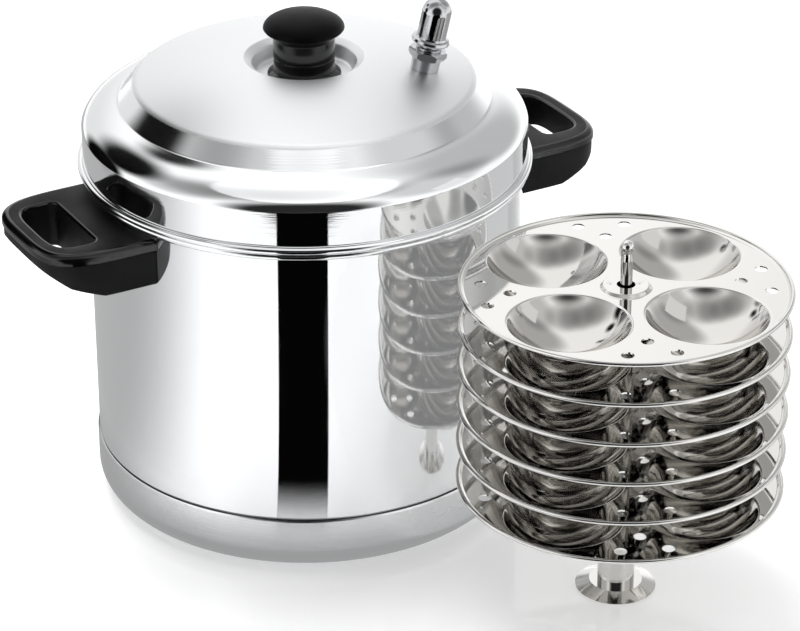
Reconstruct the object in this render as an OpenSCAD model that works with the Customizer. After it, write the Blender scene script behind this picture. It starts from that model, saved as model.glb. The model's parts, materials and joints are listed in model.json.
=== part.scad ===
// Idli steamer: a straight steel pot with a domed lid, and a stand of six cup plates beside it.
// Origin at the centre of the pot's base on the floor, +Z up, X along the line of the two handles.

/* [Pot] */
// Outer diameter of the pot's wall
pot_d = 220; // [200:1:240]
// Height of the rim's flat top above the floor
pot_h = 178.5; // [168:0.5:200]
// Thickness of the steel sheet of the pot and the lid
sheet = 0.8; // [0.6:0.1:1.2]
// Radius of the rolled bead round the pot's rim
rim_bead_r = 1.9; // [1.7:0.1:2.4]
// Outer radius of the corner between the pot's floor and wall
pot_corner = 12; // [8:1:16]
// Depth of the ring groove where the wall meets the base cap
groove = 0.8; // [0.5:0.1:1.2]

/* [Base] */
// Height of the base cap's upper edge
cap_h = 30; // [24:1:38]
// Outer radius of the cap's lower corner
cap_corner = 13; // [10:1:16]
// Thickness of the aluminium core between the cap and the pot's floor
core_t = 5; // [4:0.5:8]

/* [Lid] */
// Height of the knob recess's edge above the pot's rim
lid_rise = 54.7; // [50:0.1:62]
// Height of the vertical skirt above the pot's rim
skirt_h = 21.5; // [17:0.5:24]
// Distance from the pot's wall out to the skirt
skirt_out = 2.2; // [2:0.1:3]
// Radius of the lid's rolled bead
lid_bead_r = 1.8; // [1.6:0.1:2.4]
// Depth that the lid's lip reaches into the pot
lip_h = 7.5; // [5:0.5:12]
// Radius of the dome's curvature
dome_r = 300; // [260:5:360]
// Radius of the plateau as a share of the skirt's radius
plateau_share = 0.757; // [0.72:0.005:0.79]
// Width of the sloping band round the plateau
band_w = 8.6; // [7:0.1:10]
// Drop of the sloping band
band_drop = 10; // [8:0.1:12]
// Radius of the knob recess at its edge
recess_r = 30.2; // [27:0.1:33]
// Depth of the knob recess
recess_depth = 9; // [7:0.2:11]

/* [Knob] */
// Widest diameter of the knob
knob_d = 40.6; // [36:0.1:46]
// Height of the knob above the recess floor
knob_h = 32.2; // [28:0.2:36]
// Diameter of the knob's stem
stem_d = 31; // [26:0.5:33]
// Diameter of the flared foot of the knob base
knob_foot_d = 37; // [34:0.5:38]
// Height of the knob base
knob_base_h = 9.4; // [8:0.2:12]
// Diameter of the knob screw's shank
knob_screw_d = 5; // [4:0.5:6]

/* [Vent] */
// Distance of the vent from the lid's axis
vent_r = 60; // [50:1:70]
// Bearing of the vent round the lid, from +X
vent_bearing = -33.5; // [-180:0.5:180]
// Widest diameter of the nozzle's round body
nozzle_d = 15; // [14:0.5:17]
// Width of the nozzle's hexagon across its corners
hex_d = 19.4; // [18:0.2:22]
// Diameter of the nozzle's neck
neck_d = 9.2; // [8:0.2:9.6]
// Diameter of the steam bore
steam_bore_d = 2.6; // [2:0.2:3.2]
// Length of the weight
weight_h = 23.5; // [21:0.5:27]
// Diameter of the weight's flange
weight_flange_d = 19.4; // [18:0.2:22]

/* [Handles] */
// Distance from the pot's axis to a handle's tip
handle_reach = 158; // [154:0.5:172]
// Width of a handle
handle_w = 80; // [74:1:88]
// Drop from the pot's rim to a handle's top face
handle_drop = 6; // [5:0.5:20]
// Depth of a handle at the wall
handle_depth = 24; // [22:0.5:30]
// Thickness of the handle's upper slab, down to the parting line
slab_t = 5.4; // [5:0.1:8]
// Width of the grip bar outside the finger hole, as a share of the handle's reach beyond the wall
grip_share = 0.185; // [0.16:0.005:0.23]
// Size of the finger hole along the handle, as the same kind of share
finger_share = 0.45; // [0.4:0.005:0.46]
// Length of the finger hole across the handle
finger_w = 51.5; // [46:0.5:56]
// Diameter of the handle screw's shank
handle_screw_d = 4; // [3:0.5:5]

/* [Plates] */
// Outer diameter of an idli plate
plate_d = 160; // [157:1:168]
// Thickness of the plate's sheet
plate_t = 0.8; // [0.6:0.1:1]
// Spacing of the plates
pitch = 20.9; // [20:0.1:28]
// Height of the lowest plate's top face above the floor
first_plate_z = 61; // [50:0.2:64]
// Height of a plate's rim above its face
plate_rim_h = 1.7; // [1.4:0.1:3]
// Diameter of a cup at the plate's face
cup_d = 58.5; // [54:0.5:59.5]
// Depth of a cup
cup_depth = 15.5; // [12:0.5:17.5]
// Diameter of the steam holes
steam_hole_d = 6.2; // [4:0.2:7]
// Diameter of the raised boss at the plate's centre
boss_d = 22; // [20:0.5:22.5]
// Height of the boss
boss_h = 1.5; // [1.2:0.1:2]

/* [Stand] */
// Diameter of the central rod
rod_d = 5.8; // [5.4:0.2:7]
// Height of the rod above the top plate's boss
rod_rise = 22.8; // [20:0.2:32]
// Diameter of the stand's foot
foot_d = 40; // [36:1:64]
// Gap between the plates and the lid's bead, seen from above
stand_gap = 1.6; // [1:0.1:12]
// Bearing of the stand from the pot's axis, from +X
stand_bearing = -67.5; // [-75:0.5:-50]

/* [Hidden] */

$fn = 96;
steel = [0.80, 0.81, 0.82];
black = [0.09, 0.09, 0.10];
over = 1;            // how far a cutter runs past the face that it cuts
slide_gap = 0.5;     // clearance of the lid's lip inside the pot
seat_gap = 0.3;      // clearance of a piece that sits against a curved face
fit_gap = 0.1;       // clearance of a screw, shank or insert in its hole

// Pot and base
wall_r = pot_d / 2;
skin_r = wall_r - groove;                    // outside of the pot's wall below the groove
core_z = sheet;
pot_floor_z = core_z + core_t;               // underside of the pot's floor
step_z = cap_h + 1.2;                        // where the wall steps out above the groove
rim_c = [wall_r + 1.5, pot_h - rim_bead_r + 0.25];
cap_r = wall_r + 0.9;

// Lid
skirt_r = wall_r + skirt_out;
crisp_z = pot_h + skirt_h;
lid_bead_c = [skirt_r + 0.9, pot_h + lid_bead_r];
lip_r = wall_r - sheet - slide_gap;
recess_z = pot_h + lid_rise;                 // height of the recess's edge
recess_floor = recess_z - recess_depth;
recess_ledge = recess_r * 0.13;              // width of the sloped ring round the recess
dome_c = recess_z - sqrt(dome_r * dome_r - recess_r * recess_r);
plateau_r = plateau_share * skirt_r;
band_r = plateau_r + band_w;
band_z = dome_z(plateau_r) - band_drop;
shoulder_start = 22;                         // slope of the shoulder where it leaves the band
shoulder_end = 80;                           // slope of the shoulder where it meets the skirt
washer_t = 1.2;
washer_r = 8;
screw_head_h = 3;
knob_hole_r = knob_screw_d / 2 + 0.3;

// Knob
knob_foot_z = recess_floor;
knob_z = knob_foot_z + knob_base_h;          // lower face of the knob
knob_top = knob_foot_z + knob_h;
knob_crown = 7.8;                            // height of the knob's crown above its widest ring
knob_under = 1.8;                            // drop from the widest ring to the flat of the cap's underside
knob_ring_z = knob_top - knob_crown;
insert_r = 4.5;
insert_h = 12;

// Vent, along its own tilted axis from the dome's face
vent_tilt = asin(vent_r / dome_r);
taper_h = 6.5;
hex_h = 4;
collar_h = 1.4;
shank_r = 4.2;
shank_len = 9;
weight_z = taper_h + hex_h + 4;              // underside of the weight's flange
weight_flange_h = 2.4;
weight_r = nozzle_d / 2;
tip_z = weight_z + 12.5;                     // nozzle's tip, where the weight rests
gasket_t = 1.5;
gasket_z = sheet + 0.15;                     // gap below the dome's hollow inner face
nut_t = 4;

// Handles
handle_z = pot_h - handle_drop;              // top face
parting_z = handle_z - slab_t;
under_z = handle_z - handle_depth;           // flat underside at the wall
root_r = wall_r + seat_gap;
handle_out = handle_reach - wall_r;          // how far a handle stands out from the wall
bend_x = wall_r + handle_out * 0.415;        // where the underside starts to rise
tip_z_low = handle_z - handle_depth * 0.42;  // underside at the handle's tip
half_w = handle_w / 2;
curve_x = wall_r + handle_out * 0.01;        // where the straight sides end
finger_gap = handle_out * finger_share;
finger_x = handle_reach - handle_out * (grip_share + finger_share);
edge_r = 3.2;                                // rounding of the slab's upper edge
inset = 0.7;                                 // the lower body's step in from the slab
pad_t = 1.5;
pad_w = 34;
tongue_w = 18;
tongue_t = 3;
tongue_z = under_z + 7.5;
tongue_x = finger_x - handle_out * 0.07;     // outer end of the tongue
handle_screw_x = wall_r + handle_out * 0.19;
screw_head_r = 4;
counterbore = 3.3;
pad_low = tongue_z - 4;
pad_high = tongue_z + tongue_t + 6;

// Plates and stand
plate_count = 6;
plate_r = plate_d / 2;
cup_n = 4;
cup_r = cup_d / 2;
cup_edge = 4.5;                              // flat face between a cup and the plate's rim
cup_circle = plate_r - cup_r - cup_edge;
cup_turn = 22.2;                             // bearing of the first cup
bowl_r = (cup_r * cup_r + cup_depth * cup_depth) / (2 * cup_depth);
plate_bead_r = 1.1;
hub_bore_r = rod_d / 2 + 1.6;
hub_wall = 1.6;
hub_flange_t = 1;
hub_flange_r = boss_d / 2 - 1.4;
hub_h = pitch - plate_t;
shoulder_r = hub_bore_r + hub_wall + 3;      // pedestal of the foot
pedestal_z = first_plate_z + boss_h - pitch; // where the lowest hub rests
foot_t = 3;
stand_nut_h = 4;
stand_nut_z = 1.5;
stand_nut_af = 10;
lid_out_r = lid_bead_c[0] + lid_bead_r;
stand_dist = lid_out_r + plate_r + stand_gap;
stand_xy = stand_dist * [cos(stand_bearing), sin(stand_bearing)];
top_boss_z = first_plate_z + (plate_count - 1) * pitch + boss_h;

function dome_z(r) = dome_c + sqrt(dome_r * dome_r - r * r);
function unit(v) = v / norm(v);
function arc(c, r, a0, a1, n) =
    [for (i = [0 : n]) let (a = a0 + (a1 - a0) * i / n) c + r * [cos(a), sin(a)]];

// Points that round the corner b of the path a, b, c with radius r
function corner(a, b, c, r, n = 5) =
    let (u = unit(a - b), v = unit(c - b), half = acos(u * v) / 2)
    let (m = b + unit(u + v) * r / sin(half), s = b + u * r / tan(half) - m)
    let (turn = -sign(u[0] * v[1] - u[1] * v[0]) * (180 - 2 * half), a0 = atan2(s[1], s[0]))
    [for (i = [0 : n]) m + r * [cos(a0 + turn * i / n), sin(a0 + turn * i / n)]];

// The path moved by t to the right of its direction
function right_of(a, b) = let (d = unit(b - a)) [d[1], -d[0]];
function beside(p, t) = [
    for (i = [0 : len(p) - 1])
        let (n0 = i > 0 ? right_of(p[i - 1], p[i]) : right_of(p[0], p[1]))
        let (n1 = i < len(p) - 1 ? right_of(p[i], p[i + 1]) : n0)
        p[i] + (n0 + n1) * t / (1 + n0 * n1)
];
function reversed(p) = [for (i = [len(p) - 1 : -1 : 0]) p[i]];

// A sheet of thickness t that lies to the right of the path, turned round Z
module turned_sheet(path, t) {
    rotate_extrude() polygon(concat(path, reversed(beside(path, t))));
}

module ring(outer, inner, z0, z1) {
    difference() {
        translate([0, 0, z0]) cylinder(r = outer, h = z1 - z0);
        translate([0, 0, z0 - over]) cylinder(r = inner, h = z1 - z0 + 2 * over);
    }
}

module pot_body() {
    low = [skin_r, pot_floor_z];
    top = rim_c[1] + rim_bead_r;
    meet = acos((rim_c[0] - wall_r) / rim_bead_r) - 180;
    flat = asin((pot_h - rim_c[1]) / rim_bead_r);
    outer = concat(
        [[0, pot_floor_z]],
        corner([0, pot_floor_z], low, [skin_r, cap_h], pot_corner, 10),
        [[skin_r, step_z - 0.4], [wall_r, step_z]],
        arc(rim_c, rim_bead_r, meet, flat, 14)
    );
    inner_low = [skin_r - sheet, pot_floor_z + sheet];
    inner = concat(
        [[wall_r - sheet, pot_h], [wall_r - sheet, step_z + 0.4], [skin_r - sheet, step_z]],
        corner([skin_r - sheet, cap_h], inner_low, [0, pot_floor_z + sheet], pot_corner - sheet, 10),
        [[0, pot_floor_z + sheet]]
    );
    color(steel) rotate_extrude() polygon(concat(outer, inner));
}

module base_core() {
    color([0.75, 0.75, 0.76]) translate([0, 0, core_z]) cylinder(r = skin_r - pot_corner, h = core_t);
}

module base_cap() {
    lip = [cap_r - 0.4, cap_h];
    path = concat(
        [lip],
        [[cap_r, cap_h - 0.9]],
        corner([cap_r, cap_h - 2], [cap_r, 0], [0, 0], cap_corner, 12),
        [[0, 0]]
    );
    color(steel) turned_sheet(path, sheet);
}

// The lid's outer face from the knob hole out to the end of the lip
function lid_path() =
    let (band_a = [plateau_r, dome_z(plateau_r)], band_b = [band_r, band_z])
    let (s0 = sin(shoulder_start), s1 = sin(shoulder_end))
    let (c0 = cos(shoulder_start), c1 = cos(shoulder_end))
    let (a = (skirt_r - band_r) / (s1 - s0), b = (band_z - crisp_z) / (c0 - c1))
    let (shoulder = [for (i = [0 : 10]) let (t = shoulder_start + (shoulder_end - shoulder_start) * i / 10)
        [band_r + a * (sin(t) - s0), crisp_z + b * (cos(t) - c1)]])
    let (dome = [for (i = [1 : 9]) let (r = recess_r + (plateau_r - recess_r) * i / 10) [r, dome_z(r)]])
    let (edge = [recess_r, recess_z], ledge = edge - [recess_ledge, recess_ledge * 0.62])
    let (slope_low = [ledge[0] - 2.2, recess_floor])
    let (bead_start = 180 - acos((lid_bead_c[0] - skirt_r) / lid_bead_r))
    concat(
        [[knob_hole_r, recess_floor]],
        corner([knob_hole_r, recess_floor], slope_low, ledge, 1.5, 3),
        corner(slope_low, ledge, edge, 1.5, 3),
        corner(ledge, edge, dome[0], 1.5, 3),
        dome,
        corner(dome[8], band_a, band_b, 6, 5),
        corner(band_a, band_b, shoulder[1], 2.5, 3),
        [for (i = [1 : 10]) shoulder[i]],
        arc(lid_bead_c, lid_bead_r, bead_start, -90, 12),
        [[lip_r, pot_h], [lip_r, pot_h - lip_h]]
    );

module lid_shell() {
    color(steel) difference() {
        turned_sheet(lid_path(), sheet);
        at_vent() translate([0, 0, -shank_len]) cylinder(r = shank_r + fit_gap, h = 2 * shank_len);
    }
}

module knob() {
    crown = [for (t = [90 : -10 : 0]) [knob_d / 2 * cos(t), knob_ring_z + knob_crown * sin(t)]];
    hang = (knob_d - stem_d) / 2;
    low = knob_ring_z - knob_under;
    under = [[knob_d / 2 - hang * 0.15, low + 0.8], [knob_d / 2 - hang * 0.58, low]];
    stem = [[stem_d / 2 + hang * 0.15, low - 0.8], [stem_d / 2, low - 3.2]];
    foot = [[stem_d / 2, knob_z + 0.5], [stem_d / 2 - 0.5, knob_z], [0, knob_z]];
    color(black) difference() {
        rotate_extrude() polygon(concat(crown, under, stem, foot));
        translate([0, 0, knob_z - over]) cylinder(r = insert_r + fit_gap, h = insert_h + over);
    }
}

module knob_base() {
    r = stem_d / 2 - 0.2;
    flare = [[knob_foot_d / 2, knob_foot_z], [knob_foot_d / 2 - 0.2, knob_foot_z + 0.8]];
    neck = [[r, knob_foot_z + 2.4], [r, knob_z - 0.5], [r - 0.5, knob_z]];
    color(black) rotate_extrude() polygon(concat(
        [[knob_hole_r, knob_foot_z]], flare, neck, [[knob_hole_r, knob_z]]
    ));
}

module knob_insert() {
    color([0.78, 0.62, 0.30]) ring(insert_r, knob_screw_d / 2 + fit_gap, knob_z, knob_z + insert_h);
}

// A pan head screw standing on +Z, with its head's seat at z = 0
module screw(d, head_r, head_h, length) {
    difference() {
        union() {
            cylinder(r = d / 2, h = length);
            translate([0, 0, -head_h * 0.6]) cylinder(r = head_r, h = head_h * 0.6);
            translate([0, 0, -head_h]) cylinder(r1 = head_r * 0.7, r2 = head_r, h = head_h * 0.4, $fn = 48);
        }
        translate([-head_r - over, -0.5, -head_h - over]) cube([2 * (head_r + over), 1, over + head_h * 0.5]);
    }
}

module knob_screw() {
    seat = recess_floor - sheet - washer_t;
    color(steel) translate([0, 0, seat]) screw(knob_screw_d, 5, screw_head_h, knob_z + insert_h - 2 - seat);
}

module knob_washer() {
    top = recess_floor - sheet;
    color(steel) ring(washer_r, knob_screw_d / 2 + fit_gap, top - washer_t, top);
}

module at_vent() {
    translate([vent_r * cos(vent_bearing), vent_r * sin(vent_bearing), dome_z(vent_r)])
        rotate([0, vent_tilt, vent_bearing]) children();
}

module vent_nozzle() {
    hex_z = taper_h;
    color(steel) at_vent() difference() {
        union() {
            translate([0, 0, -shank_len]) cylinder(r = shank_r, h = shank_len);
            cylinder(r1 = nozzle_d / 2 - 0.5, r2 = nozzle_d / 2, h = taper_h);
            intersection() {
                translate([0, 0, hex_z]) cylinder(r = hex_d / 2, h = hex_h, $fn = 6);
                translate([0, 0, hex_z]) cylinder(r1 = hex_d / 2 - 1, r2 = hex_d / 2 - 1 + hex_h, h = hex_h);
                translate([0, 0, hex_z]) cylinder(r1 = hex_d / 2 - 1 + hex_h, r2 = hex_d / 2 - 1, h = hex_h);
            }
            translate([0, 0, hex_z + hex_h]) cylinder(r = neck_d / 2 + 1.8, h = collar_h);
            translate([0, 0, hex_z + hex_h]) cylinder(r = neck_d / 2, h = tip_z - hex_z - hex_h);
        }
        translate([0, 0, -shank_len - over]) cylinder(r = steam_bore_d / 2, h = tip_z + shank_len + 2 * over);
    }
}

module vent_gasket() {
    color([0.15, 0.15, 0.16]) at_vent() ring(8, shank_r + fit_gap, -gasket_z - gasket_t, -gasket_z);
}

module vent_nut() {
    color(steel) at_vent() difference() {
        translate([0, 0, -gasket_z - gasket_t - nut_t]) cylinder(r = 7.5, h = nut_t, $fn = 6);
        translate([0, 0, -shank_len - over]) cylinder(r = shank_r + fit_gap, h = shank_len);
    }
}

module vent_weight() {
    top = weight_z + weight_h;
    round_c = top - weight_r;
    bore_r = neck_d / 2 + 0.5;
    shoulder_z = weight_z + weight_flange_h;
    outline = concat(
        [[bore_r, weight_z], [weight_flange_d / 2 - 0.4, weight_z], [weight_flange_d / 2, weight_z + 0.6]],
        [[weight_flange_d / 2 - 0.5, shoulder_z - 0.3], [weight_r + 0.4, shoulder_z]],
        [[weight_r, shoulder_z + 0.8]],
        arc([0, round_c], weight_r, 0, 90, 9),
        [[0, tip_z], [bore_r, tip_z]]
    );
    color(steel) at_vent() rotate_extrude() polygon(outline);
}

// Half of a handle's plan curve, drawn in by i: straight sides that close in a broad round tip
function handle_plan(i) =
    let (a = handle_reach - i - curve_x, b = half_w - i)
    concat(
        [[wall_r - 25, -b]],
        [for (u = [-1 : 0.1 : 1]) squared([curve_x, 0], a, b, u)],
        [[wall_r - 25, b]]
    );

// A point of a squared-off half ellipse with semi-axes a and b round c, from u = -1 to u = 1
function squared(c, a, b, u) =
    let (t = 45 * (1 - cos(180 * abs(u))))
    c + [a * sqrt(cos(t)), b * sign(u) * sqrt(sin(t))];

// The finger hole: straight towards the pot, round towards the tip
function finger_plan() =
    let (a = finger_gap - 4, b = finger_w / 2, x = finger_x + 4)
    concat(
        arc([x, b - 4], 4, 90, 180, 4),
        arc([x, 4 - b], 4, 180, 270, 4),
        [for (u = [-0.9 : 0.1 : 0.95]) squared([x, 0], a, b, u)]
    );

module handle() {
    lift = edge_r * (1 - cos(45));
    color(black) difference() {
        union() {
            hull() {
                translate([0, 0, parting_z]) linear_extrude(slab_t - edge_r) polygon(handle_plan(0));
                translate([0, 0, parting_z]) linear_extrude(slab_t - lift) polygon(handle_plan(lift));
                translate([0, 0, parting_z]) linear_extrude(slab_t) polygon(handle_plan(edge_r));
            }
            intersection() {
                translate([0, 0, under_z]) linear_extrude(parting_z - under_z) polygon(handle_plan(inset));
                rotate([90, 0, 0]) translate([0, 0, -half_w]) linear_extrude(handle_w) polygon(concat(
                    [[wall_r - 25, parting_z + over], [wall_r - 25, under_z], [bend_x, under_z]],
                    [[(bend_x + handle_reach) / 2 + 2, under_z + (tip_z_low - under_z) * 0.42]],
                    [[handle_reach - 1, tip_z_low], [handle_reach + over, parting_z + over]]
                ));
            }
        }
        translate([0, 0, under_z - over]) linear_extrude(handle_depth + 2 * over) polygon(finger_plan());
        translate([0, 0, under_z - over]) cylinder(r = root_r, h = handle_depth + 2 * over);
        bracket_room();
        screw_room();
    }
}

// Space that the handle leaves round its bracket and screw
module bracket_room() {
    g = seat_gap;
    intersection() {
        ring(wall_r + seat_gap + pad_t + g, wall_r - 5, pad_low - g, pad_high + g);
        translate([0, -pad_w / 2 - g, pad_low - over]) cube([handle_reach, pad_w + 2 * g, pad_high]);
    }
    translate([wall_r, -tongue_w / 2 - g, tongue_z])
        cube([tongue_x - wall_r + g, tongue_w + 2 * g, tongue_t + g]);
}

module screw_room() {
    translate([handle_screw_x, 0, under_z - over]) cylinder(r = screw_head_r + 0.6, h = counterbore + over);
    translate([handle_screw_x, 0, under_z])
        cylinder(r = handle_screw_d / 2 + fit_gap, h = tongue_z - under_z + tongue_t + 3);
}

module bracket() {
    color(steel) difference() {
        union() {
            intersection() {
                ring(wall_r + seat_gap + pad_t - 0.1, wall_r + 0.2, pad_low, pad_high);
                translate([0, -pad_w / 2, pad_low - over]) cube([handle_reach, pad_w, pad_high]);
            }
            translate([wall_r + 0.8, -tongue_w / 2, tongue_z])
                cube([tongue_x - wall_r - 0.8, tongue_w, tongue_t]);
        }
        translate([handle_screw_x, 0, tongue_z - over])
            cylinder(r = handle_screw_d / 2 + fit_gap, h = tongue_t + 2 * over);
    }
}

module handle_screw() {
    seat = under_z + counterbore;
    color(steel) translate([handle_screw_x, 0, seat])
        screw(handle_screw_d, screw_head_r, counterbore - 0.5, tongue_z + tongue_t + 2 - seat);
}

module left() {
    mirror([1, 0, 0]) children();
}

// One plate's top face, from the rod hole over the boss and out to the rolled rim
function plate_path() =
    let (foot_r = boss_d / 2 + 1.3, flat_r = plate_r - 3.2, wall_x = plate_r - 2 * plate_bead_r)
    let (bead_z = plate_rim_h - plate_bead_r)
    concat(
        [[hub_bore_r, boss_h]],
        corner([hub_bore_r, boss_h], [boss_d / 2, boss_h], [foot_r, 0], 0.8, 3),
        corner([boss_d / 2, boss_h], [foot_r, 0], [flat_r, 0], 0.8, 3),
        corner([foot_r, 0], [flat_r, 0], [wall_x, bead_z], 1, 4),
        arc([plate_r - plate_bead_r, bead_z], plate_bead_r, 180, -40, 8)
    );

// One cup's inner face from its brim down to the middle of its floor
function cup_path() =
    let (edge = asin(cup_r / bowl_r), first = bowl_point(edge * 11 / 12))
    concat(
        [[cup_r + 0.8, 0]],
        corner([cup_r + 2, 0], [cup_r, 0], first, 1, 3),
        [for (i = [11 : -1 : 0]) bowl_point(edge * i / 12)]
    );
function bowl_point(a) = [bowl_r * sin(a), bowl_r * (1 - cos(a)) - cup_depth];

module cup() {
    rotate_extrude() polygon(concat(cup_path(), reversed(beside(cup_path(), -plate_t))));
}

module each_cup() {
    for (i = [0 : cup_n - 1])
        rotate([0, 0, cup_turn + i * 360 / cup_n]) translate([cup_circle, 0, 0]) children();
}

// Three holes in each gap between two cups, one of them further in
module steam_holes() {
    spots = [[0.695, 0], [0.86, -9.6], [0.86, 9.6]];
    for (i = [0 : cup_n - 1], s = spots)
        rotate([0, 0, cup_turn + (i + 0.5) * 360 / cup_n + s[1]])
            translate([plate_r * s[0], 0, -plate_t - over]) cylinder(r = steam_hole_d / 2, h = plate_t + 2 * over);
}

module at_plate(k) {
    translate([stand_xy[0], stand_xy[1], first_plate_z + (k - 1) * pitch]) children();
}

module idli_plate(k) {
    color(steel) at_plate(k) {
        difference() {
            turned_sheet(plate_path(), plate_t);
            each_cup() translate([0, 0, -plate_t - over]) cylinder(r = cup_r + 0.4, h = plate_t + 2 * over);
            steam_holes();
        }
        each_cup() cup();
    }
}

// Flanged tube under a plate's boss, which spaces it from the one below
module plate_hub(k) {
    color(steel) at_plate(k) translate([0, 0, boss_h - plate_t]) {
        ring(hub_flange_r, hub_bore_r, -hub_flange_t, 0);
        ring(hub_bore_r + hub_wall, hub_bore_r, -hub_h, 0);
    }
}

module stand_foot() {
    color(steel) translate([stand_xy[0], stand_xy[1], 0]) difference() {
        union() {
            cylinder(r1 = foot_d / 2 - 0.6, r2 = foot_d / 2, h = 0.6);
            translate([0, 0, 0.6]) cylinder(r1 = foot_d / 2, r2 = shoulder_r + 4, h = foot_t);
            cylinder(r = shoulder_r, h = pedestal_z);
        }
        translate([0, 0, -over]) cylinder(r = stand_nut_af * 0.7, h = stand_nut_z + stand_nut_h + over);
        translate([0, 0, -over]) cylinder(r = rod_d / 2 + fit_gap, h = pedestal_z + 2 * over);
    }
}

module stand_rod() {
    r = rod_d / 2;
    top = top_boss_z + rod_rise;
    neck = top - 6;
    head = [for (t = [-50 : 20 : 70]) [(r + 0.3) * cos(t), top - 3.2 + 3.2 * sin(t)]];
    color(steel) translate([stand_xy[0], stand_xy[1], 0]) rotate_extrude() polygon(concat(
        [[0, stand_nut_z], [r, stand_nut_z], [r, neck - 4], [r - 0.7, neck + 0.2]],
        head, [[0, top]]
    ));
}

module stand_nut() {
    color(steel) translate([stand_xy[0], stand_xy[1], stand_nut_z]) difference() {
        cylinder(r = stand_nut_af / sqrt(3), h = stand_nut_h, $fn = 6);
        translate([0, 0, -over]) cylinder(r = rod_d / 2 + fit_gap, h = stand_nut_h + 2 * over);
    }
}

pot_body();
base_core();
base_cap();
left() bracket();  // handle_bracket_left
bracket();  // handle_bracket_right
left() handle();  // handle_left
handle();  // handle_right
left() handle_screw();  // handle_screw_left
handle_screw();  // handle_screw_right
lid_shell();
knob();
knob_base();
knob_insert();
knob_screw();
knob_washer();
vent_nozzle();
vent_gasket();
vent_nut();
vent_weight();
stand_foot();
stand_rod();
stand_nut();
idli_plate(1);  // idli_plate_1
idli_plate(2);  // idli_plate_2
idli_plate(3);  // idli_plate_3
idli_plate(4);  // idli_plate_4
idli_plate(5);  // idli_plate_5
idli_plate(6);  // idli_plate_6
plate_hub(1);  // plate_hub_1
plate_hub(2);  // plate_hub_2
plate_hub(3);  // plate_hub_3
plate_hub(4);  // plate_hub_4
plate_hub(5);  // plate_hub_5
plate_hub(6);  // plate_hub_6
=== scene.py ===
import json
import math

import bmesh
import bpy
from mathutils import Matrix, Vector


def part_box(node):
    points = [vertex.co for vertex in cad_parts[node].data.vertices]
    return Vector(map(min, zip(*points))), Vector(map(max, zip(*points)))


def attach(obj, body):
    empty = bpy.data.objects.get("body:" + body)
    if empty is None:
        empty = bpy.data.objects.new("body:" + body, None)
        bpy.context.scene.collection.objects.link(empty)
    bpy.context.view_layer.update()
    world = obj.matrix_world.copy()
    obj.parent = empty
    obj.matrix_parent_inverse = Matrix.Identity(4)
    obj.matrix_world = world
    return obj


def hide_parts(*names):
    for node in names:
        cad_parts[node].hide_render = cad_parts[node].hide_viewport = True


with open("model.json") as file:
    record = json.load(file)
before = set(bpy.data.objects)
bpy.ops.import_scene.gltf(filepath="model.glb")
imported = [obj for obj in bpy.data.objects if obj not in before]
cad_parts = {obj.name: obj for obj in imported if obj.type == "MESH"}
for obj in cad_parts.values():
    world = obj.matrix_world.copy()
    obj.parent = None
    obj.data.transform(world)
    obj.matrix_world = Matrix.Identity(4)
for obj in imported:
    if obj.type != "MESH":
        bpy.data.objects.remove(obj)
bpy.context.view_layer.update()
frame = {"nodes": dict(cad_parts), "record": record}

# The studio: a glossy white table under even white light, with dark flags that a mirror finish
# picks up. The camera looks down at the pot from its left front with a long lens.
MM = 0.001
AHEAD = math.radians(-29.5)  # turn of the camera's sideways direction from +X

scene = bpy.context.scene
scene.view_settings.view_transform = "Standard"
camera = bpy.data.objects.new("camera", bpy.data.cameras.new("camera"))
scene.collection.objects.link(camera)
camera.data.sensor_width = 36
camera.data.lens = 144
camera.data.clip_start, camera.data.clip_end = 0.05, 60
camera.location = Matrix.Rotation(AHEAD, 3, "Z") @ Vector((0.04772, -1.4739, 0.8513))
camera.rotation_euler = (math.radians(62.61), 0, AHEAD)
scene.camera = camera


def srgb(code):
    """Linear red, green, blue and alpha of an sRGB hex colour."""
    parts = [int(code[i : i + 2], 16) / 255 for i in (1, 3, 5)]
    return [c / 12.92 if c <= 0.04045 else ((c + 0.055) / 1.055) ** 2.4 for c in parts] + [1.0]


def add(tree, kind, settings=None, links=None):
    """Adds a node. settings holds its properties and the values of its inputs, by name or number,
    and links the sources of its inputs."""
    made = tree.nodes.new(kind)
    for key, value in (settings or {}).items():
        if isinstance(key, int) or key in made.inputs:
            made.inputs[key].default_value = value
        else:
            setattr(made, key, value)
    for key, source in (links or {}).items():
        tree.links.new(source, made.inputs[key])
    return made


def smooth(tree, value, low, high, at_low, at_high):
    """A smooth step of the value, from at_low where it is low to at_high where it is high."""
    made = add(
        tree,
        "ShaderNodeMapRange",
        {
            "interpolation_type": "SMOOTHSTEP",
            "From Min": low,
            "From Max": high,
            "To Min": at_low,
            "To Max": at_high,
        },
        {"Value": value},
    )
    return made.outputs["Result"]


world = bpy.data.worlds.new("studio")
world.use_nodes = True
scene.world = world
sky = world.node_tree
sky.nodes.clear()
where = add(sky, "ShaderNodeTexCoord")


def along(tree, source, way):
    """How far the source vector points along the way, as a dot product."""
    made = add(tree, "ShaderNodeVectorMath", {"operation": "DOT_PRODUCT", 1: way}, {0: source})
    return made.outputs["Value"]


def flag(level, direction, inner, outer, brightness):
    """Multiplies the light round a direction by the brightness: fully within inner degrees, not at
    all past outer degrees. The direction is (right, away, up) as the camera sees it."""
    turned = Matrix.Rotation(AHEAD, 3, "Z") @ Vector(direction).normalized()
    near = along(sky, where.outputs["Generated"], turned)
    share = smooth(sky, near, math.cos(math.radians(outer)), math.cos(math.radians(inner)), 1.0, brightness)
    return add(sky, "ShaderNodeMath", {"operation": "MULTIPLY"}, {0: level, 1: share}).outputs[0]


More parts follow.
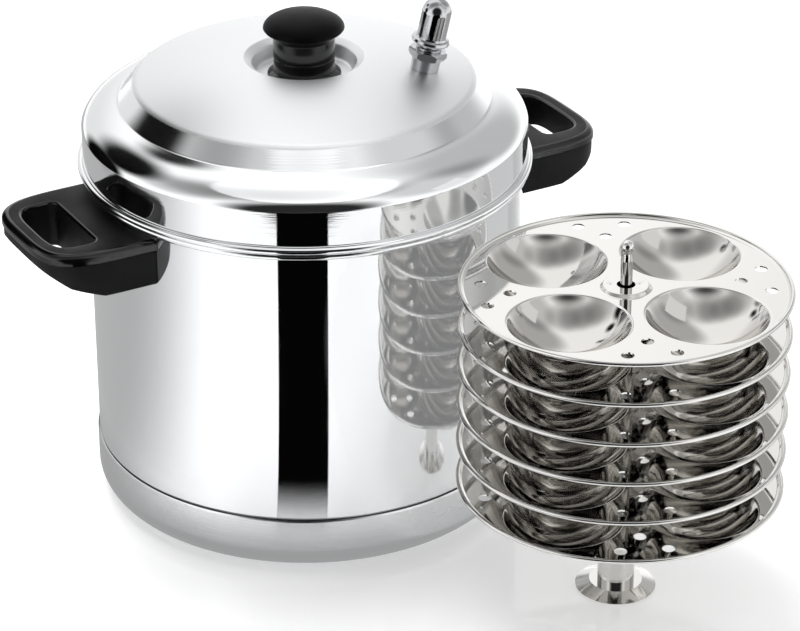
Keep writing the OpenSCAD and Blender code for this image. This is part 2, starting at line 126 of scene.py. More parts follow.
light = add(sky, "ShaderNodeValue")
light.outputs[0].default_value = 1.3
light = light.outputs[0]
BEAM = math.radians(100)  # angle over the scene, from straight ahead, of a dark beam across the ceiling
for aside in [math.radians(k) for k in (-46, -28, -10, 8)]:
    across = math.cos(aside)
    light = flag(light, (math.sin(aside), math.cos(BEAM) * across, math.sin(BEAM) * across), 6, 30, 0.54)
light = flag(light, (-0.57, 0.82, 0.02), 12, 36, 0.72)
light = flag(light, (0, -0.94, 0.34), 25, 46, 0.02)
light = flag(light, (0.57, 0.58, 0.58), 18, 36, 0.45)
light = flag(light, (0.74, -0.05, 0.67), 16, 34, 0.6)
back = add(sky, "ShaderNodeBackground", {"Color": srgb("#FFFFFF")}, {"Strength": light})
add(sky, "ShaderNodeOutputWorld", {}, {"Surface": back.outputs[0]})

# White acrylic table top, cast, polished and lit from below: it goes pure white and holds a faint
# mirror image of what stands on it. It lies a hair below the floor of the frame.
def finish(name):
    """An empty material of that name with its node tree and its output node."""
    mat = bpy.data.materials.new(name)
    mat.use_nodes = True
    mat.node_tree.nodes.clear()
    return mat, mat.node_tree, mat.node_tree.nodes.new("ShaderNodeOutputMaterial")


def put(name, bm, mats, sharp=35):
    """A new object at the origin with that mesh, smooth but for edges sharper than the angle."""
    mesh = bpy.data.meshes.new(name)
    bm.to_mesh(mesh)
    bm.free()
    for mat in mats:
        mesh.materials.append(mat)
    mesh.shade_smooth()
    mesh.set_sharp_from_angle(angle=math.radians(sharp))
    made = bpy.data.objects.new(name, mesh)
    scene.collection.objects.link(made)
    return made


mat, tree, out = finish("polished_white_acrylic")
body = add(
    tree,
    "ShaderNodeBsdfPrincipled",
    {
        "Base Color": srgb("#F7F7F8"),
        "Roughness": 0.06,
        "IOR": 1.49,
        "Emission Color": srgb("#FFFFFF"),
        "Emission Strength": 0.3,
    },
)
tree.links.new(body.outputs[0], out.inputs["Surface"])
bm = bmesh.new()
level = Matrix.Translation((0, 0, -0.0003))
bmesh.ops.create_circle(bm, cap_ends=True, radius=12, segments=64, matrix=level)
table_top = put("table_top", bm, [mat])


# Black velvet runner before the pot, seen only in reflections: it makes the dark upright strip on
# the wall and thins out towards the pot. Its underside is clear, so the table's own gloss passes it.
def cover(name, colour, mask=None, thin=0.0):
    """Dull one-sided cloth or card of that colour. mask is 1 where it is cut away, and thin is the
    share that the weave lets through."""
    mat, tree, out = finish(name)
    side = add(tree, "ShaderNodeNewGeometry").outputs["Backfacing"]
    if mask:
        side = add(tree, "ShaderNodeMath", {"operation": "MAXIMUM"}, {0: side, 1: mask(tree)}).outputs[0]
    side = add(tree, "ShaderNodeMath", {"operation": "MAXIMUM", 1: thin}, {0: side}).outputs[0]
    glow = add(tree, "ShaderNodeEmission", {"Color": srgb(colour), "Strength": 1.0})
    clear = add(tree, "ShaderNodeBsdfTransparent")
    mixed = add(tree, "ShaderNodeMixShader", {}, {0: side, 1: glow.outputs[0], 2: clear.outputs[0]})
    tree.links.new(mixed.outputs[0], out.inputs["Surface"])
    return mat


def fade(start, end):
    """A mask that is 0 at start and 1 at end, both in mm from the object's origin, in either order."""

    def mask(tree):
        spot = add(tree, "ShaderNodeTexCoord").outputs["Object"]
        reach = add(tree, "ShaderNodeVectorMath", {"operation": "LENGTH"}, {0: spot})
        low, high = min(start, end) * MM, max(start, end) * MM
        return smooth(tree, reach.outputs["Value"], low, high, float(start > end), float(start < end))

    return mask


def in_reflections(made):
    """Leaves a studio prop to the eye of what is polished alone."""
    made.visible_camera = made.visible_diffuse = made.visible_shadow = made.visible_transmission = False


bm = bmesh.new()
near = [(-18, -112), (-104, -505), (-300, -530), (-2500, -6000)]
runner = near + [(2500, -6000), (300, -530), (102, -505), (10, -112)]
corners = [bm.verts.new(Vector((u, v, 1.0)) * MM) for u, v in runner]
bm.faces.new(corners)
bmesh.ops.rotate(bm, cent=(0, 0, 0), matrix=Matrix.Rotation(AHEAD, 3, "Z"), verts=bm.verts)
in_reflections(put("dark_runner", bm, [cover("black_velvet", "#050505", fade(198, 140))]))

# Grey felt on the table, seen only in reflections: left of the pot, where it shades the wall, and
# right of it. A light grey disc round the foot is a painted contact shadow that darkens the cap's lower
# edge.
def sector(way, full, clear):
    """A mask that is 0 within full degrees of that way from the object's origin, 1 past clear degrees."""

    def mask(tree):
        spot = add(tree, "ShaderNodeTexCoord").outputs["Object"]
        flat = add(tree, "ShaderNodeVectorMath", {"operation": "MULTIPLY", 1: (1, 1, 0)}, {0: spot})
        unit = add(tree, "ShaderNodeVectorMath", {"operation": "NORMALIZE"}, {0: flat.outputs[0]})
        near = along(tree, unit.outputs[0], way)
        return smooth(tree, near, math.cos(math.radians(clear)), math.cos(math.radians(full)), 1.0, 0.0)

    return mask


def lay(name, half, height, mat):
    """A square of cloth on the table, centred on the pot, of that half width and height in mm."""
    bm = bmesh.new()
    level = Matrix.Translation((0, 0, height * MM))
    bmesh.ops.create_grid(bm, x_segments=1, y_segments=1, size=half * MM, matrix=level)
    in_reflections(put(name, bm, [mat]))


for name, bearing, full, clear, colour, height in (
    ("left", -115, 20, 82, "#BDBDBD", 0.6),
    ("right", 110, 10, 45, "#C8C8C8", 1.6),
):
    way = Matrix.Rotation(AHEAD + math.radians(bearing - 90), 3, "Z") @ Vector((1, 0, 0))
    lay(f"{name}_felt", 1400, height, cover(f"grey_felt_{name}", colour, sector(way, full, clear)))
# Painted contact shadow: a grey disc round the pot's foot, seen only in reflections, fading out from 116 to
# 162 mm.
lay("contact_shadow_disc", 170, 2.4, cover("painted_contact_shadow", "#B0B0B0", fade(116, 162)))


# Cards that only polished metal sees: three black ones left of the lid, a white window right of the
# plates, and a thin white scrim that veils the plates' image in the pot.
def card(name, spot, aim, size, mat):
    """A square card of size mm at spot that faces aim, both as the camera sees them."""
    bm = bmesh.new()
    bmesh.ops.create_grid(bm, x_segments=1, y_segments=1, size=size / 2 * MM)
    made = put(name, bm, [mat])
    turn = Matrix.Rotation(AHEAD, 3, "Z")
    made.location = turn @ Vector(spot) * MM
    made.rotation_euler = (turn @ (Vector(aim) - Vector(spot))).to_track_quat("Z", "Y").to_euler()
    in_reflections(made)


for name, spot, aim, size, colour, start, end in (
    ("high", (-206, -4, 300), (-75, -65, 210), 200, "#0A0A0A", 45, 100),
    ("back", (-128, 76, 377), (-60, -20, 215), 130, "#0C0C0C", 18, 64),
    ("low", (-240, 20, 200), (-90, -60, 202), 170, "#0A0A0A", 50, 85),
):
    card(f"dark_card_{name}", spot, aim, size, cover(f"black_card_{name}", colour, fade(start, end)))
card("window_card", (318, -121, 313), (155, -121, 166), 94, cover("white_card", "#FFFFFF"))
scrim = cover("white_scrim", "#FFFFFF", fade(75, 115), 0.76)
card("scrim_card", (89.4, -69.8, 100), (0, 0, 100), 230, scrim)

# Large soft light above and behind, which lifts the upper faces and draws the contact shadows.
lamp = bpy.data.objects.new("softbox", bpy.data.lights.new("softbox", "AREA"))
lamp.data.shape = "DISK"
lamp.data.size = 1.6
lamp.data.energy = 30
lamp.location = Matrix.Rotation(AHEAD, 3, "Z") @ Vector((-0.5, 0.5, 2.2))
lamp.rotation_euler = (Vector((0, 0, 0)) - lamp.location).to_track_quat("-Z", "Y").to_euler()
scene.collection.objects.link(lamp)
lamp.visible_glossy = False

# The pot: deep drawn stainless steel sheet, mirror polished on the wheel, with its rim rolled
# outwards and a groove where the wall meets the base cap. It is one piece with its floor.
WALL_R = 110.0
SHEET = 0.8
RIM_Z = 178.5


def outline(points, steps=8, guard=0.25, straight=5.0):
    """A profile in mm through corners (r, z) or (r, z, fillet). Long straights get a point near each
    end, which keeps a mirror finish true up to the bend."""
    made = []
    for i, p in enumerate(points):
        b = Vector(p[:2])
        if len(p) == 2:
            made.append(b)
            continue
        u = (Vector(points[i - 1][:2]) - b).normalized()
        v = (Vector(points[i + 1][:2]) - b).normalized()
        half = u.angle(v) / 2
        centre = b + (u + v).normalized() * p[2] / math.sin(half)
        first = b + u * p[2] / math.tan(half) - centre
        turn = (math.pi - 2 * half) * (-1 if u.cross(v) > 0 else 1)
        made += [centre + Matrix.Rotation(turn * k / steps, 2) @ first for k in range(steps + 1)]
    held = [made[0]]
    for a, b in zip(made, made[1:]):
        run = b - a
        if run.length > straight:
            held += [a + run.normalized() * guard, b - run.normalized() * guard]
        held.append(b)
    return held


def curl(centre, radius, start, end, steps=12):
    """Points of an arc in the profile plane, in mm and degrees."""
    angles = [math.radians(start + (end - start) * k / steps) for k in range(steps + 1)]
    return [Vector((centre[0] + radius * math.cos(a), centre[1] + radius * math.sin(a))) for a in angles]


def lined(path, wall):
    """The closed profile of a sheet: the path, and back on its right at the wall's thickness."""
    normals = []
    for i in range(len(path)):
        before = (path[i] - path[i - 1]).normalized() if i else (path[1] - path[0]).normalized()
        after = (path[i + 1] - path[i]).normalized() if i < len(path) - 1 else before
        n0, n1 = Vector((before.y, -before.x)), Vector((after.y, -after.x))
        normals.append((n0 + n1) / (1 + n0.dot(n1)))
    return path + [p + n * wall for p, n in zip(path, normals)][::-1]


def spin(bm, profile, steps, closed=True, centre=(0, 0)):
    """Spins a profile in mm once round the upright axis through centre."""
    at = Vector((centre[0], centre[1], 0)) * MM
    verts = [bm.verts.new(at + Vector((p[0], 0, p[1])) * MM) for p in profile]
    pairs = list(zip(verts, verts[1:])) + ([(verts[-1], verts[0])] if closed else [])
    edges = [bm.edges.new(pair) for pair in pairs if (pair[0].co - pair[1].co).length > 1e-9]
    bmesh.ops.spin(
        bm, geom=verts + edges, cent=at, axis=(0, 0, 1), angle=2 * math.pi, steps=steps, use_merge=True
    )


def spun(profile, steps=192, closed=True):
    """A new mesh of a spun piece with its poles merged and its faces outward."""
    bm = bmesh.new()
    spin(bm, profile, steps, closed)
    bmesh.ops.remove_doubles(bm, verts=bm.verts, dist=1e-7)
    bmesh.ops.recalc_face_normals(bm, faces=bm.faces)
    return bm


def polished(name, colour, rough, lines, line_depth, wave, satin=()):
    """Polished metal. rough is (least, most) roughness, and lines the spacing in mm of the polishing
    lines round the piece, drawn several times coarser than real ones so that they show. satin holds
    (from, to, roughness): between those heights in mm the buffing gets coarser."""
    mat, tree, out = finish(name)
    spot = add(tree, "ShaderNodeTexCoord").outputs["Object"]
    grime = {"Scale": 28.0, "Detail": 3.0, "Roughness": 0.55}
    smear = add(tree, "ShaderNodeTexNoise", grime, {"Vector": spot})
    dull = add(
        tree,
        "ShaderNodeMapRange",
        {"From Min": 0.35, "From Max": 0.65, "To Min": rough[0], "To Max": rough[1]},
        {"Value": smear.outputs["Fac"]},
    ).outputs["Result"]
    height = add(tree, "ShaderNodeSeparateXYZ", {}, {0: spot}).outputs["Z"]
    for low, high, coarse in satin:
        dull = add(
            tree,
            "ShaderNodeMapRange",
            {
                "interpolation_type": "SMOOTHSTEP",
                "From Min": low * MM,
                "From Max": high * MM,
                "To Max": coarse,
            },
            {"Value": height, "To Min": dull},
        ).outputs["Result"]
    squeeze = add(tree, "ShaderNodeMapping", {"Scale": (4.0, 4.0, 1 / (lines * MM))}, {"Vector": spot})
    rings = add(tree, "ShaderNodeTexNoise", {"Scale": 1.0, "Detail": 2.0}, {"Vector": squeeze.outputs[0]})
    swell = add(tree, "ShaderNodeTexNoise", {"Scale": 14.0, "Detail": 1.0}, {"Vector": spot})
    depth = {"Strength": wave, "Distance": 0.001}
    broad = add(tree, "ShaderNodeBump", depth, {"Height": swell.outputs["Fac"]})
    fine = add(
        tree,
        "ShaderNodeBump",
        {"Strength": line_depth, "Distance": 0.0001},
        {"Height": rings.outputs["Fac"], "Normal": broad.outputs[0]},
    )
    steel = add(
        tree,
        "ShaderNodeBsdfPrincipled",
        {"Base Color": srgb(colour), "Metallic": 1.0},
        {"Roughness": dull, "Normal": fine.outputs[0]},
    )
    tree.links.new(steel.outputs[0], out.inputs["Surface"])
    return mat


FLOOR_Z = 5.8
SKIN_R = WALL_R - 0.8
STEP_Z = 31.2
BEAD = (WALL_R + 1.5, RIM_Z - 1.65)
outer = outline(
    [(0, FLOOR_Z), (SKIN_R, FLOOR_Z, 12), (SKIN_R, STEP_Z - 0.4), (WALL_R, STEP_Z), (WALL_R, 175.6)]
)
inner = outline(
    [
        (WALL_R - SHEET, STEP_Z + 0.4),
        (SKIN_R - SHEET, STEP_Z),
        (SKIN_R - SHEET, FLOOR_Z + SHEET, 11.2),
        (0, FLOOR_Z + SHEET),
    ]
)
bead = curl(BEAD, 1.9, -142.0, 60.3, 18)
profile = outer[:-1] + bead + outline([bead[-1], (WALL_R - SHEET, RIM_Z)]) + inner
wall_steel = polished("mirror_polished_stainless", "#E9EAEB", (0.015, 0.045), 0.35, 0.05, 0.012)
pot_wall = put("pot_wall", spun(profile, 256), [wall_steel], 30)
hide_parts("pot_body")
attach(pot_wall, "pot")

# The base cap: a pressed steel cup bonded over the aluminium disc, left satin from the belt, with
# its upper edge hemmed just proud of the wall.
CAP_R = WALL_R + 0.9
lip = outline([(CAP_R - 0.4, 30.0), (CAP_R, 29.1), (CAP_R, 0, 13), (0, 0)], 14)
cap_steel = polished("belt_ground_stainless", "#DFE0E1", (0.20, 0.28), 0.5, 0.25, 0.01)
cap = put("base_cup", spun(lined(lip, SHEET), 256), [cap_steel], 30)
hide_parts("base_cap")
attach(cap, "pot")

# The lid: spun steel sheet with a sunk seat for the knob, a shallow dome, a sloping band and a
# broad shoulder, all buffed, above a mirror polished skirt. Its edge is rolled to a bead, and a
# lip drops inside the pot.
SKIRT_R = WALL_R + 2.2
CREASE_Z = RIM_Z + 21.5
SEAT_Z = 224.2
DOME_R = 300.0
EDGE = (30.2, 233.2)
PLATEAU_R = 0.757 * SKIRT_R
BAND_R = PLATEAU_R + 8.6
LIP_R = 108.7
dome_centre = EDGE[1] - math.sqrt(DOME_R**2 - EDGE[0] ** 2)


def dome(r):
    """Height of the lid's dome at a distance from the axis, in mm."""
    return dome_centre + math.sqrt(DOME_R**2 - r**2)


band_z = dome(PLATEAU_R) - 10
start, end = math.radians(22), math.radians(80)
wide = (SKIRT_R - BAND_R) / (math.sin(end) - math.sin(start))
tall = (band_z - CREASE_Z) / (math.cos(start) - math.cos(end))
shoulder = [
    (
        BAND_R + wide * (math.sin(t) - math.sin(start)),
        CREASE_Z + tall * (math.cos(t) - math.cos(end)),
    )
    for t in [start + (end - start) * k / 32 for k in range(33)]
]
crown = [(r, dome(r)) for r in [EDGE[0] + (PLATEAU_R - EDGE[0]) * k / 40 for k in range(1, 38)]]
bead = curl((SKIRT_R + 0.9, RIM_Z + 1.8), 1.8, 120.0, -90.0, 18)
lid_path = outline(
    [(2.8, SEAT_Z), (EDGE[0] - 6.1, SEAT_Z, 1.5), (EDGE[0] - 3.9, EDGE[1] - 2.4, 1.5), (*EDGE, 1.5)]
    + crown
    + [(PLATEAU_R, dome(PLATEAU_R), 6), (BAND_R, band_z, 2.5)]
    + shoulder[3:]
    + [(SKIRT_R, RIM_Z + 3.4)]
    + [tuple(p) for p in bead]
    + [(LIP_R, RIM_Z), (LIP_R, RIM_Z - 7.5)]
)
satin = ((CREASE_Z, CREASE_Z + 9, 0.12), (dome(PLATEAU_R) - 2, dome(PLATEAU_R) - 1, 0.42))
lid_steel = polished("buffed_stainless_lid", "#E6E7E8", (0.015, 0.045), 0.35, 0.08, 0.010, satin)
lid = put("lid_sheet", spun(lined(lid_path, SHEET), 256), [lid_steel], 30)
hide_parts("lid_shell")
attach(lid, "lid")

# A second softbox high in front that lights the lid alone, so its buffed face stays silvery while
# the cups below mirror the dark room above them.
lamp = bpy.data.objects.new("lid_softbox", bpy.data.lights.new("lid_softbox", "AREA"))
lamp.data.shape = "DISK"
lamp.data.size = 1.6
lamp.data.energy = 4.3
lamp.location = Matrix.Rotation(AHEAD, 3, "Z") @ Vector((0, -0.26, 1.68))
lamp.rotation_euler = (Vector((0, 0, 0.2)) - lamp.location).to_track_quat("-Z", "Y").to_euler()
scene.collection.objects.link(lamp)
lamp.light_linking.receiver_collection = bpy.data.collections.new("lid_softbox_lights")
lamp.light_linking.receiver_collection.objects.link(lid)


# Black moulded bakelite of the knob and handles: matte and faintly grained where it comes from the
# textured side of the mould, glossy where it was buffed.
def bakelite(name, rough, grain, gloss):
    """Moulded resin with that roughness and gloss, and a grain of that depth, a third of a mm wide."""
    mat, tree, out = finish(name)
    spot = add(tree, "ShaderNodeTexCoord").outputs["Object"]
    pits = add(tree, "ShaderNodeTexNoise", {"Scale": 3000.0, "Detail": 2.0}, {"Vector": spot})
    cloud = add(tree, "ShaderNodeTexNoise", {"Scale": 45.0, "Detail": 2.0}, {"Vector": spot})
    dull = add(
        tree,
        "ShaderNodeMapRange",
        {"From Min": 0.3, "From Max": 0.7, "To Min": rough * 0.85, "To Max": rough * 1.15},
        {"Value": cloud.outputs["Fac"]},
    )
    depth = {"Strength": grain, "Distance": 0.0002}
    bump = add(tree, "ShaderNodeBump", depth, {"Height": pits.outputs["Fac"]})
    resin = add(
        tree,
        "ShaderNodeBsdfPrincipled",
        {"Base Color": srgb("#060607"), "IOR": 1.6, "Specular IOR Level": gloss},
        {"Roughness": dull.outputs[0], "Normal": bump.outputs[0]},
    )
    tree.links.new(resin.outputs[0], out.inputs["Surface"])
    return mat


matte = bakelite("moulded_bakelite_matte", 0.5, 0.4, 0.15)
grained = bakelite("moulded_bakelite_grained", 0.42, 0.7, 0.05)
glossy = bakelite("moulded_bakelite_buffed", 0.12, 0.02, 0.4)
KNOB_Z = SEAT_Z + 9.4
RING_Z = SEAT_Z + 24.4
KNOB_R, STEM_R = 20.3, 15.5
crown = [
    (KNOB_R * math.cos(t), RING_Z + 7.8 * math.sin(t))
    for t in [math.radians(90 - 6 * k) for k in range(16)]
]
stem = outline(
    [crown[-1], (19.6, RING_Z - 1.0, 0.4), (17.5, RING_Z - 1.8, 0.6), (16.2, RING_Z - 2.6, 0.5)]
    + [(STEM_R, RING_Z - 5.0, 2.0), (STEM_R, KNOB_Z, 0.5), (0, KNOB_Z)]
)
bm = spun(crown + stem[1:], 128)
for face in bm.faces:
    face.material_index = int(face.calc_center_median().z < (RING_Z - 2.2) * MM)
knob = put("knob_cap", bm, [grained, glossy], 40)
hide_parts("knob")
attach(knob, "lid")
foot = outline(
    [(2.8, SEAT_Z), (18.5, SEAT_Z), (18.3, SEAT_Z + 0.8, 0.4), (15.3, SEAT_Z + 2.4, 1.2)]
    + [(15.3, KNOB_Z, 0.5), (2.8, KNOB_Z)]
)
foot = put("knob_foot", spun(foot, 128), [glossy], 40)
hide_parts("knob_base")
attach(foot, "lid")

# The steam vent: a turned nozzle with a tapered body and a hexagon for the spanner, square to the
# dome, and a loose bullet-shaped weight that rests on its tip. All of it is turned and plated.
fitting = polished("turned_and_plated_steel", "#BEBFC1", (0.03, 0.07), 0.2, 0.05, 0.0)
VENT_R, VENT_BEARING = 60.0, math.radians(-33.5)
upright = Matrix.Rotation(VENT_BEARING, 4, "Z") @ Matrix.Rotation(math.asin(VENT_R / DOME_R), 4, "Y")
base = Vector((VENT_R * math.cos(VENT_BEARING), VENT_R * math.sin(VENT_BEARING), dome(VENT_R))) * MM
at_vent = Matrix.Translation(base) @ upright
TIP_Z = 27.0
bm = bmesh.new()
spin(
    bm,
    outline(
        [(1.3, -9), (4.2, -9), (4.2, 0), (7.0, 0), (7.5, 6.4, 0.3), (6.8, 6.6), (6.8, 10.4), (6.4, 10.5)]
        + [(6.4, 11.9, 0.4), (4.6, 11.9, 0.4), (4.6, TIP_Z, 0.3), (1.3, TIP_Z)]
    ),
    96,
)
hexagon = bmesh.new()
spin(hexagon, [(6.8, 6.5), (8.7, 6.5), (9.7, 7.5), (9.7, 9.5), (8.7, 10.5), (6.8, 10.5)], 96)
for k in range(6):
    way = Vector((math.cos(math.radians(60 * k + 30)), math.sin(math.radians(60 * k + 30)), 0))
    cut = bmesh.ops.bisect_plane(
        hexagon,
        geom=hexagon.verts[:] + hexagon.edges[:] + hexagon.faces[:],
        plane_co=way * 9.7 * math.cos(math.radians(30)) * MM,
        plane_no=way,
        clear_outer=True,
        dist=1e-8,
    )
    bmesh.ops.edgeloop_fill(hexagon, edges=[e for e in cut["geom_cut"] if isinstance(e, bmesh.types.BMEdge)])
carrier = bpy.data.meshes.new("hexagon")
hexagon.to_mesh(carrier)
hexagon.free()
bm.from_mesh(carrier)
bpy.data.meshes.remove(carrier)
bmesh.ops.remove_doubles(bm, verts=bm.verts, dist=1e-7)
bmesh.ops.recalc_face_normals(bm, faces=bm.faces)
bm.transform(at_vent)
nozzle = put("steam_nozzle", bm, [fitting], 30)
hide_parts("vent_nozzle")
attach(nozzle, "lid")
WEIGHT_Z = 14.5
TOP_Z = WEIGHT_Z + 23.5
shell = outline(
    [(5.1, WEIGHT_Z), (9.4, WEIGHT_Z, 0.3), (9.7, WEIGHT_Z + 0.8, 0.2), (9.2, WEIGHT_Z + 2.1, 0.3)]
    + [(7.9, WEIGHT_Z + 2.5, 0.3), (7.5, WEIGHT_Z + 3.4, 0.3), (7.5, TOP_Z - 7.5)]
)
cap_arc = curl((0, TOP_Z - 7.5), 7.5, 0, 90, 16)
bm = spun(shell[:-1] + cap_arc + [Vector((0, TIP_Z)), Vector((5.1, TIP_Z))], 96)
bm.transform(at_vent)
weight = put("bullet_weight", bm, [fitting], 30)
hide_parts("vent_weight")
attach(weight, "weight")

# The two handles: bakelite loops moulded in one piece, with a flat top, a buffed rounded edge
# above the parting line and a grained body below it. Each is screwed from below to its bracket.
REACH, HALF_W = 158.0, 40.0
OUT = REACH - WALL_R
TOP, PARTING, UNDER = 172.5, 167.1, 148.5
ROOT_R = WALL_R + 0.3
EDGE_R = 3.2
CURVE_X = WALL_R + 0.01 * OUT
GAP_X, GAP_LONG, GAP_HALF = REACH - 0.635 * OUT, 0.45 * OUT, 25.75


def squared(x, long, wide, steps=24):
    """Half of a squared-off ellipse from -wide to +wide, its points closest where it bends."""
    turns = [math.radians(45 * (1 - math.cos(math.pi * k / steps))) for k in range(steps + 1)]
    side = [(x + long * math.sqrt(max(0, math.cos(t))), wide * math.sqrt(math.sin(t))) for t in turns]
    return [(px, -py) for px, py in side[:0:-1]] + side


def loop_plan(inset):
    """The handle's outline from above, in mm: straight sides from the pot, closed by a broad round tip."""
    wide = HALF_W - inset
    root = [wide * (1 - 2 * k / 32) for k in range(33)]
    return [(math.sqrt(ROOT_R**2 - y**2), y) for y in root] + squared(CURVE_X, REACH - CURVE_X - inset, wide)


def gap_plan(grow):
    """The finger hole's outline from above, in mm: straight towards the pot, round towards the tip."""
    x, r, y = GAP_X + 4, 4 + grow, GAP_HALF - 4
    turns = [math.radians(15 * k) for k in range(7)]
    plan = [(x - r * math.sin(t), y + r * math.cos(t)) for t in turns]
    plan += [(x - r * math.cos(t), -y - r * math.sin(t)) for t in turns]
    return plan + squared(x, GAP_LONG - 4 + grow, GAP_HALF + grow)[1:-1]


def stack(bm, plan, levels):
    """Walls between the plan's outlines at each (inset, height) in mm. It returns the end loops."""
    loops = []
    for amount, height in levels:
        ring = [bm.verts.new(Vector((x, y, height)) * MM) for x, y in plan(amount)]
        loops.append([bm.edges.new((a, b)) for a, b in zip(ring, ring[1:] + ring[:1])])
    for low, high in zip(loops, loops[1:]):
        bmesh.ops.bridge_loops(bm, edges=low + high)
    return loops[0], loops[-1]


BENDS = (WALL_R + 0.415 * OUT, REACH - 12.0)


def underside(x):
    """Height of the handle's underside at a distance from the pot's axis, in mm."""
    steps = [(0, UNDER), (BENDS[0], UNDER), (BENDS[1], 154.3), (REACH - 1, 162.4), (REACH + 1, 162.6)]
    for (x0, z0), (x1, z1) in zip(steps, steps[1:]):
        if x <= x1:
            return z0 + (z1 - z0) * (x - x0) / (x1 - x0)
    return steps[-1][1]


for side in ("right", "left"):
    bm = bmesh.new()
    turns = [math.radians(11.25 * k) for k in range(9)]
    edge = [(EDGE_R * (1 - math.sin(t)), TOP - EDGE_R * (1 - math.cos(t))) for t in turns]
    line = [(0, PARTING + 0.35), (0.3, PARTING + 0.1), (0.9, PARTING), (0.9, PARTING - 0.25)]
    foot = [(0.7, PARTING - 0.5), (0.7, UNDER + 1.5), (0.95, UNDER + 0.6), (1.9, UNDER)]
    top_out, low_out = stack(bm, loop_plan, edge + line + foot)
    turns = [math.radians(22.5 * k) for k in range(5)]
    mouth = [(1.4 - 1.4 * math.sin(t), TOP - 1.4 * (1 - math.cos(t))) for t in turns]
    top_in, low_in = stack(bm, gap_plan, mouth + [(0, UNDER + 1.0), (0.8, UNDER)])
    for ends in (top_out + top_in, low_out + low_in):
        bmesh.ops.triangle_fill(bm, use_beauty=True, edges=ends, normal=(0, 0, 1))
    for x in BENDS:
        bmesh.ops.bisect_plane(
            bm,
            geom=bm.verts[:] + bm.edges[:] + bm.faces[:],
            plane_co=(x * MM, 0, 0),
            plane_no=(1, 0, 0),
            dist=1e-7,
        )
    for v in bm.verts:
        drop = PARTING - v.co.z / MM
        if drop > 0:
            v.co.z = (PARTING - drop * (PARTING - underside(v.co.x / MM)) / (PARTING - UNDER)) * MM
    if side == "left":
        bmesh.ops.scale(bm, vec=(-1, 1, 1), verts=bm.verts)
    bmesh.ops.recalc_face_normals(bm, faces=bm.faces)
    for face in bm.faces:
        low = face.calc_center_median().z < PARTING * MM
        face.material_index = int(not low and abs(face.normal.z) < 0.999)
    handle = put("loop_handle_" + side, bm, [matte, glossy], 32)
    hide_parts("handle_" + side)
    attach(handle, "pot")

# The six idli plates: pressed stainless sheet with four cups, a raised boss for the rod, steam
# holes between the cups and a rim curled outwards. Two spot welds hold the hub under each boss.
low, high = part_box("stand_rod")
STAND = (low + high) / 2 / MM
HEAD_Z = high.z / MM
FIRST_Z, NEXT_Z = [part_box(f"idli_plate_{k}")[1].z / MM - 1.7 for k in (1, 2)]
PITCH = NEXT_Z - FIRST_Z
PLATE_R, PLATE_T, BORE_R = 80.0, 0.8, 4.5
CUP_CIRCLE, CUP_TURN = PLATE_R - 33.75, 22.2
BOWL_R, BOWL_DEPTH, BRIM_R = 35.35, 15.5, 1.5
BOSS_Z = 1.5
centre_z = BOWL_R - BOWL_DEPTH
flat_from = math.sqrt((BOWL_R + BRIM_R) ** 2 - (centre_z + BRIM_R) ** 2)
slope = math.degrees(math.atan2(flat_from, centre_z + BRIM_R))
bowl = [
    Vector((BOWL_R * math.sin(a), centre_z - BOWL_R * math.cos(a)))
    for a in [math.radians(slope * k / 24) for k in range(24)]
]
CUP_FLAT, BOSS_FLAT, RIM_FLAT = flat_from + 0.1, 12.8, PLATE_R - 3.55
cup_path = bowl + curl((flat_from, -BRIM_R), BRIM_R, 90 + slope, 90, 8) + [Vector((CUP_FLAT, 0))]
boss_path = outline([(10.3, BOSS_Z), (11, BOSS_Z, 0.8), (12.3, 0, 0.8), (BOSS_FLAT, 0)], 4)
rim_path = outline([(RIM_FLAT, 0), (PLATE_R - 3.2, 0, 0.8), (PLATE_R - 2.2, 0.6)], 4)[:-1]
rim_path += curl((PLATE_R - 1.1, 0.6), 1.1, 180, -40, 14)
dimple = [Vector(p) for p in [(0.9, 0), (0.75, -0.03), (0.5, -0.16), (0.2, -0.2), (0, -0.2)]]
plate_steel = polished("pressed_stainless_plate", "#DAD9D6", (0.03, 0.07), 0.3, 0.04, 0.02)
# The cups take a copy of the plate's steel. It is rougher, as drawn sheet is, and darker in colour, which is
# painted shade in the hollow cups and under them.
cup_steel_shaded = polished("drawn_stainless_cup_painted_shade", "#CFCDC9", (0.06, 0.10), 0.3, 0.04, 0.02)


def edges_at(bm, circles, height):
    """Edges that lie on one of the circles (x, y, radius) at that height, all in mm."""

    def on(v, x, y, r):
        aside = math.hypot(v.co.x / MM - x, v.co.y / MM - y) - r
        return abs(aside) < 0.01 and abs(v.co.z / MM - height) < 1e-4

    found = [e for e in bm.edges if any(all(on(v, *circle) for v in e.verts) for circle in circles)]
    return found


pressed = bmesh.new()
cups = [math.radians(CUP_TURN + 90 * k) for k in range(4)]
cups = [(CUP_CIRCLE * math.cos(a), CUP_CIRCLE * math.sin(a)) for a in cups]
gaps = [math.radians(CUP_TURN + 45 + 90 * k) for k in range(4)]
holes = [
    (PLATE_R * out * math.cos(a + aside), PLATE_R * out * math.sin(a + aside), 3.1)
    for a in gaps
    for out, aside in ((0.695, 0), (0.86, math.radians(-9.6)), (0.86, math.radians(9.6)))
]
welds = [(6.9 * math.cos(AHEAD + s), 6.9 * math.sin(AHEAD + s), 0.9) for s in (0, math.pi)]
spin(pressed, lined(rim_path, PLATE_T), 160, False)
for x, y in cups:
    for side in (cup_path, lined(cup_path, PLATE_T)[len(cup_path) :]):
        spin(pressed, side, 96, False, (x, y))
for side in (boss_path, lined(boss_path, PLATE_T)[len(boss_path) :]):
    spin(pressed, side, 96, False)
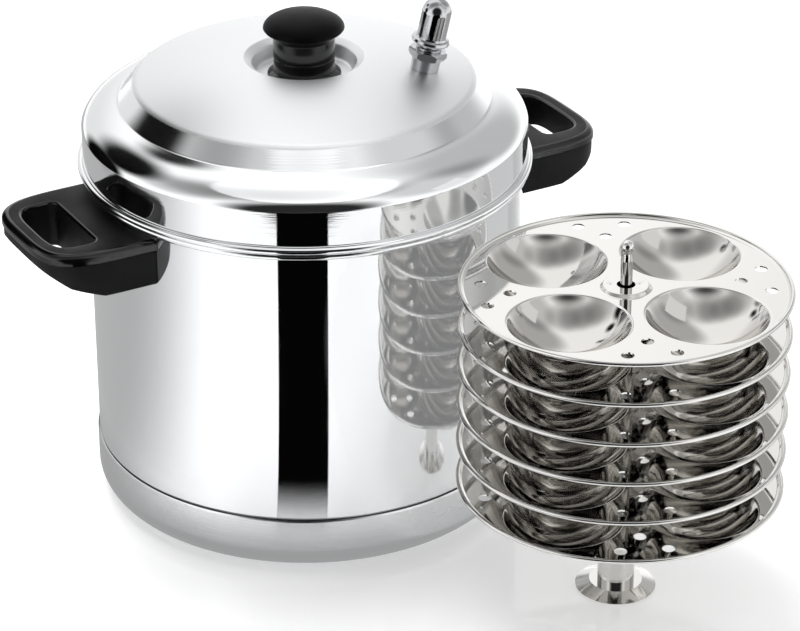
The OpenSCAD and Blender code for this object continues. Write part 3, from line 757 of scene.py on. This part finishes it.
for x, y, r in welds:
    at = len(pressed.verts)
    spin(pressed, dimple, 16, False, (x, y))
    pressed.verts.ensure_lookup_table()
    bmesh.ops.translate(pressed, vec=(0, 0, BOSS_Z * MM), verts=pressed.verts[at:])
for punched, height in ((holes, 0), ([(0, 0, BORE_R)], BOSS_Z)):
    for x, y, r in punched:
        spin(pressed, [(r, height), (r, height - PLATE_T)], 32, False, (x, y))
bmesh.ops.remove_doubles(pressed, verts=pressed.verts, dist=1e-6)
flats = [(0, 0, RIM_FLAT), (0, 0, BOSS_FLAT)] + [(x, y, CUP_FLAT) for x, y in cups] + holes
ring = [(0, 0, 10.3), (0, 0, BORE_R)]
for circles, height in ((flats, 0), (flats, -PLATE_T), (ring + welds, BOSS_Z), (ring, BOSS_Z - PLATE_T)):
    edges = edges_at(pressed, circles, height)
    bmesh.ops.triangle_fill(pressed, use_beauty=True, edges=edges, normal=(0, 0, 1))
bmesh.ops.recalc_face_normals(pressed, faces=pressed.faces)
# Faces more than a mm below the plate's top, the cups inside and out, take the darker cup steel: painted
# shade.
for face in pressed.faces:
    spot = face.calc_center_median() / MM
    face.material_index = int(spot.z < -1.0)
for k in range(6):
    bm = pressed.copy()
    bmesh.ops.translate(bm, vec=Vector((STAND.x, STAND.y, FIRST_Z + PITCH * k)) * MM, verts=bm.verts)
    plate = put(f"cup_plate_{k + 1}", bm, [plate_steel, cup_steel_shaded], 30)
    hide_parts(f"idli_plate_{k + 1}")
    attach(plate, f"plate_{k + 1}")
pressed.free()

# The stand's rod: turned stainless bar with a waisted neck and an acorn head to lift it by.
ROD_R = 2.9
head = [
    Vector((3.2 * math.sin(math.radians(a)) ** 0.9, HEAD_Z - 3.3 + 3.3 * math.cos(math.radians(a))))
    for a in range(0, 136, 9)
]
rod_path = head + outline(
    [tuple(head[-1]), (2.25, HEAD_Z - 6.2, 0.8), (ROD_R, HEAD_Z - 10, 1.2), (ROD_R, 1.5), (0, 1.5)], 5
)[1:]
bm = spun(rod_path, 64)
bmesh.ops.translate(bm, vec=Vector((STAND.x, STAND.y, 0)) * MM, verts=bm.verts)
rod = put("turned_rod", bm, [plate_steel], 40)
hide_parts("stand_rod")
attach(rod, "stand")

# CAD nodes that stay as they are get their real finishes: steel, the cast aluminium core, the brass
# insert in the knob and the black rubber gasket under the vent.
cast = polished("cast_aluminium", "#D2D3D5", (0.30, 0.42), 0.5, 0.1, 0.0)
brass = polished("turned_brass", "#C8A55E", (0.12, 0.22), 0.2, 0.05, 0.0)
rubber = bakelite("moulded_rubber", 0.75, 0.2, 0.2)
finishes = {"bakelite": matte, "core_aluminium": cast, "insert_brass": brass, "gasket_rubber": rubber}
finishes.update({"polished_steel": wall_steel, "base_steel": cap_steel, "plate_steel": plate_steel})
for part in frame["record"]["subparts"]:
    node = frame["nodes"][part["node"]]
    node.data.materials.clear()
    node.data.materials.append(finishes.get(part["material_slot"], fitting))
